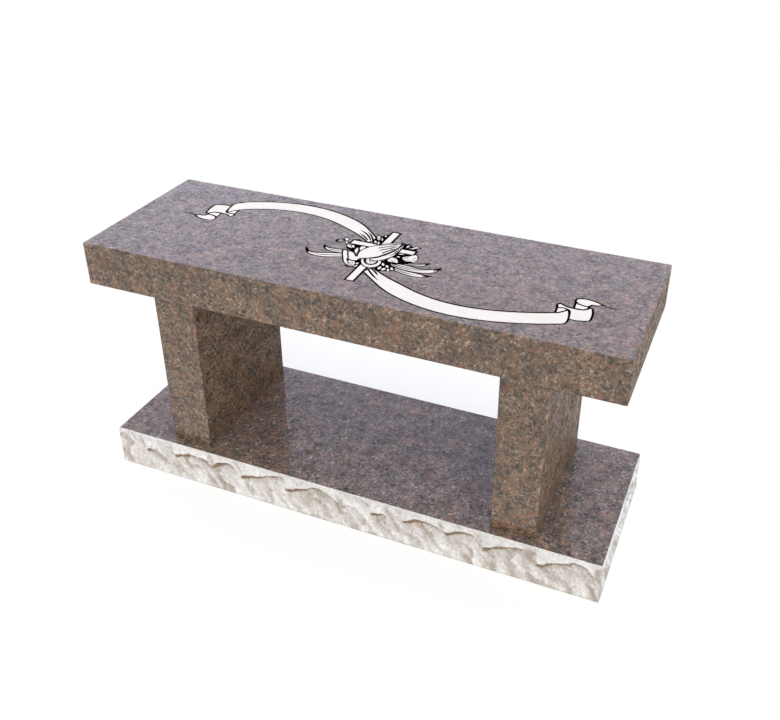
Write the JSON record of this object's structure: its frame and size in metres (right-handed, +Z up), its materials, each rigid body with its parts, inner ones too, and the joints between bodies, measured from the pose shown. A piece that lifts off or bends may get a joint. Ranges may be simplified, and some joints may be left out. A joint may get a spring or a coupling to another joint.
{
  "type": "memorial bench",
  "caption": "Granite memorial bench: polished seat slab with a carved ribbon, cross and praying hands, on two slab supports and a base slab with rock-pitched sides.",
  "frame": {"origin": "middle of the base's underside, on the ground", "axes": "+X along the bench to its right end, +Y to the back, +Z up; the artwork reads from the front, at -Y"},
  "size_m": [1.2192, 0.4064, 0.6096],
  "materials": {
    "seat_granite": "polished granite",
    "support_granite": "polished granite",
    "base_granite": "polished top, rock-pitched sides",
    "carving_white": "blasted stone, whitened, matt",
    "carving_black": "cut line, blackened, matt"
  },
  "bodies": {
    "root": {"seat": "seat_granite", "support_left": "support_granite", "support_right": "support_granite", "base": "base_granite"}
  },
  "joints": []
}
